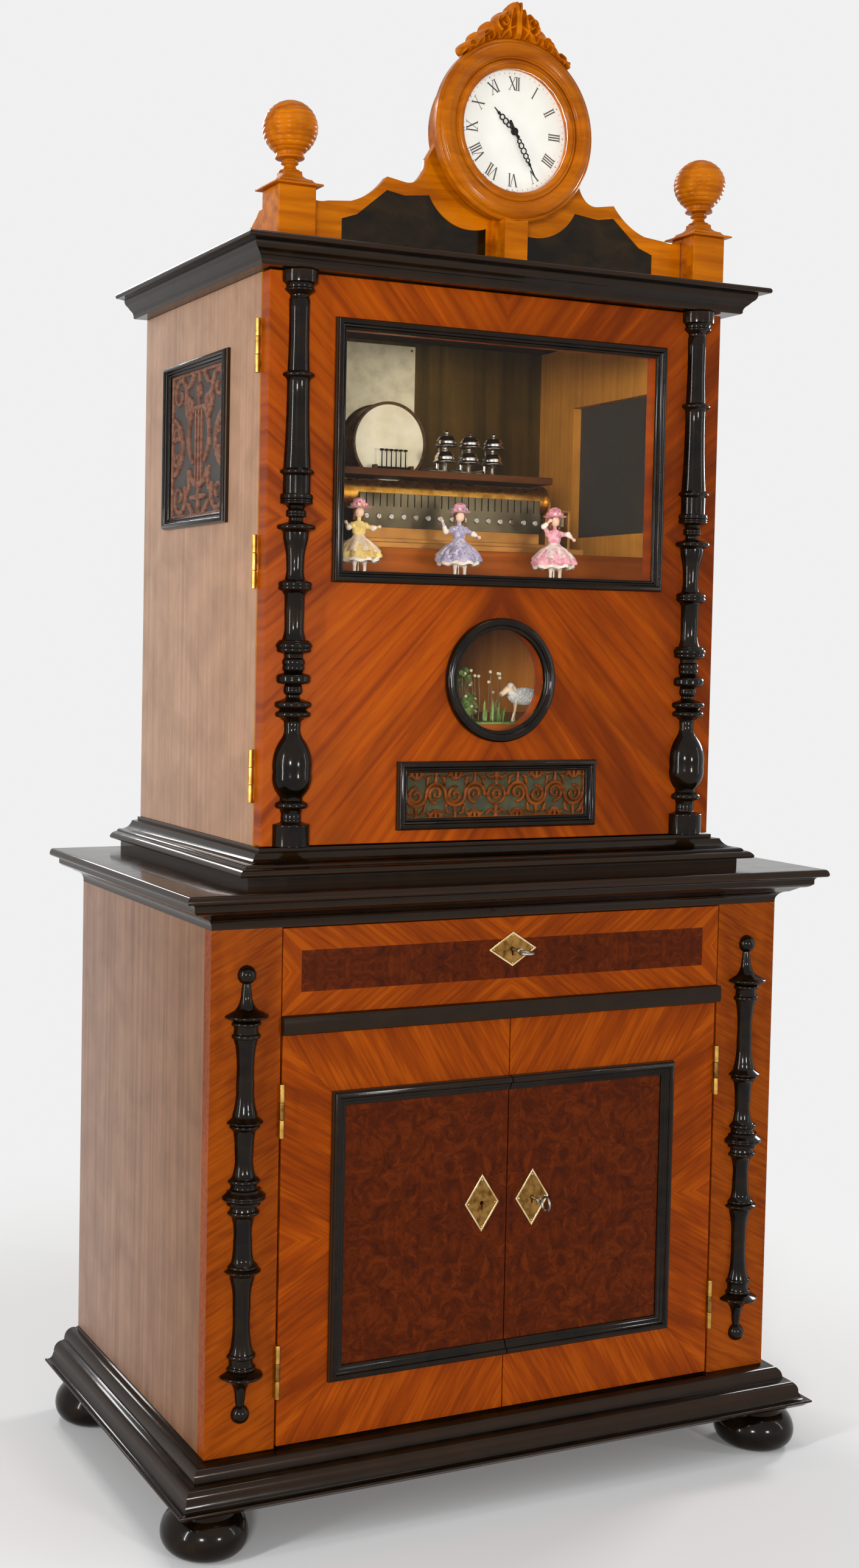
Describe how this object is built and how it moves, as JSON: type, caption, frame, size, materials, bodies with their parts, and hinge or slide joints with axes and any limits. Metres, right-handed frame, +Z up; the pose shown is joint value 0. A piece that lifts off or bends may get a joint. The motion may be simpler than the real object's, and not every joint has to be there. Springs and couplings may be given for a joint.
{
  "type": "floor-standing musical box cabinet",
  "caption": "Tall floor-standing musical cabinet with a glazed cylinder movement, dancing dolls, drum and bells, a clock on top, and a drawer over a cupboard with bun feet.",
  "frame": {"origin": "on the floor, under the middle of the whole cabinet", "axes": "+X to the viewer's right, -Y out of the front, +Z up"},
  "size_m": [0.898, 0.508, 1.8385],
  "materials": {
    "black_wood": "polished ebonised wood",
    "brown_veneer": "polished figured veneer",
    "side_wood": "satin reddish brown",
    "golden_wood": "polished golden brown",
    "inner_wood": "stained, satin",
    "brass": "lightly worn",
    "steel": "satin",
    "bright_metal": "bright",
    "cast_bed": "bronzed",
    "glass": "clear",
    "cloth": "plain weave",
    "drum_shell": "satin",
    "doll": "cloth dress",
    "painted_figure": "painted",
    "card": "matt",
    "dial_face": "satin enamel"
  },
  "bodies": {
    "cabinet": {"bun_feet": "black_wood", "plinth": "black_wood", "lower_sides": "side_wood", "lower_back": "inner_wood", "lower_shelves": "inner_wood", "face_frame": "brown_veneer", "lower_trim": "black_wood", "waist_moulding": "black_wood", "fixed_hinge_leaves": "brass", "upper_base_moulding": "black_wood", "upper_sides": "side_wood", "upper_back": "inner_wood", "upper_shelves": "inner_wood", "cornice": "black_wood", "side_fret_frames": "black_wood", "side_frets": "side_wood", "side_fret_cloths": "cloth", "bedplate": "cast_bed", "comb_base": "brass", "comb": "steel", "percussion_shelf": "inner_wood", "drum": "drum_shell", "bells": "bright_metal", "lamb_diorama": "painted_figure", "tune_card": "card", "clock_case": "golden_wood", "clock_dial": "dial_face", "clock_glass": "glass", "pediment_board": "golden_wood", "pediment_panels": "black_wood", "gallery_posts": "golden_wood", "crest_carving": "golden_wood"},
    "drawer": {"drawer_front": "brown_veneer", "drawer_box": "inner_wood", "drawer_escutcheon": "brass"},
    "drawer_key": {"drawer_key": "steel"},
    "left_door": {"left_door_panel": "brown_veneer", "left_door_moulding": "black_wood", "left_door_brass": "brass"},
    "right_door": {"right_door_panel": "brown_veneer", "right_door_moulding": "black_wood", "right_door_brass": "brass"},
    "door_key": {"door_key": "steel"},
    "front_door": {"front_door_panel": "brown_veneer", "front_door_mouldings": "black_wood", "front_door_glass": "glass", "round_bezel": "black_wood", "grille_fret": "brown_veneer", "grille_cloth": "cloth", "columns": "black_wood", "front_door_hinges": "brass"},
    "cylinder": {"music_cylinder": "brass"},
    "left_doll": {"left_doll": "doll"},
    "centre_doll": {"centre_doll": "doll"},
    "right_doll": {"right_doll": "doll"},
    "governor": {"governor_fan": "steel"},
    "strikers": {"bell_strikers": "bright_metal"},
    "sticks": {"drum_sticks": "steel"},
    "minute_hand": {"minute_hand": "steel"},
    "hour_hand": {"hour_hand": "steel"}
  },
  "joints": [
    {"name": "drawer_slide", "type": "slide", "parent": "cabinet", "child": "drawer", "axis": [0, -1, 0], "range_m": [0, 0.3]},
    {"name": "drawer_key_turn", "type": "hinge", "parent": "drawer", "child": "drawer_key", "pos_m": [0, -0.205, 0.68225], "axis": [0, 1, 0], "range_deg": [0, 90]},
    {"name": "left_door_hinge", "type": "hinge", "parent": "cabinet", "child": "left_door", "pos_m": [-0.3095, -0.2087, 0.366], "axis": [0, 0, -1], "range_deg": [0, 100]},
    {"name": "right_door_hinge", "type": "hinge", "parent": "cabinet", "child": "right_door", "pos_m": [0.3095, -0.2087, 0.366], "axis": [0, 0, 1], "range_deg": [0, 100]},
    {"name": "door_key_turn", "type": "hinge", "parent": "right_door", "child": "door_key", "pos_m": [0.036, -0.205, 0.37], "axis": [0, 1, 0], "range_deg": [0, 90]},
    {"name": "front_door_hinge", "type": "hinge", "parent": "cabinet", "child": "front_door", "pos_m": [-0.3247, -0.1375, 1.148], "axis": [0, 0, -1], "range_deg": [0, 110]},
    {"name": "cylinder_turn", "type": "hinge", "parent": "cabinet", "child": "cylinder", "pos_m": [0, -0.003, 1.247], "axis": [1, 0, 0], "continuous": true},
    {"name": "left_doll_turn", "type": "hinge", "parent": "cabinet", "child": "left_doll", "pos_m": [-0.1575, -0.077, 1.1373], "axis": [0, 0, 1], "continuous": true},
    {"name": "centre_doll_turn", "type": "hinge", "parent": "cabinet", "child": "centre_doll", "pos_m": [-0.0145, -0.077, 1.1373], "axis": [0, 0, 1], "continuous": true},
    {"name": "right_doll_turn", "type": "hinge", "parent": "cabinet", "child": "right_doll", "pos_m": [0.1285, -0.077, 1.1373], "axis": [0, 0, 1], "continuous": true},
    {"name": "governor_turn", "type": "hinge", "parent": "cabinet", "child": "governor", "pos_m": [0.182, -0.003, 1.21], "axis": [0, 0, 1], "continuous": true},
    {"name": "striker_tilt", "type": "hinge", "parent": "cabinet", "child": "strikers", "pos_m": [0.049, 0.051, 1.287], "axis": [1, 0, 0], "range_deg": [0, 3], "stiffness_Nm_per_rad": 0.3, "springref_deg": -2.29},
    {"name": "stick_tilt", "type": "hinge", "parent": "cabinet", "child": "sticks", "pos_m": [-0.057, 0.026, 1.284], "axis": [-1, 0, 0], "range_deg": [0, 10], "stiffness_Nm_per_rad": 0.05, "springref_deg": -2.29},
    {"name": "minute_hand_turn", "type": "hinge", "parent": "cabinet", "child": "minute_hand", "pos_m": [0, -0.17, 1.6815], "axis": [0, 1, 0], "continuous": true},
    {"name": "hour_hand_turn", "type": "hinge", "parent": "cabinet", "child": "hour_hand", "pos_m": [0, -0.168, 1.6815], "axis": [0, 1, 0], "continuous": true}
  ],
  "couplings": [
    {"joint": "left_doll_turn", "follows": "cylinder_turn", "ratio": 3},
    {"joint": "centre_doll_turn", "follows": "cylinder_turn", "ratio": -3},
    {"joint": "right_doll_turn", "follows": "cylinder_turn", "ratio": 3},
    {"joint": "governor_turn", "follows": "cylinder_turn", "ratio": 12},
    {"joint": "hour_hand_turn", "follows": "minute_hand_turn", "ratio": 0.083333}
  ]
}
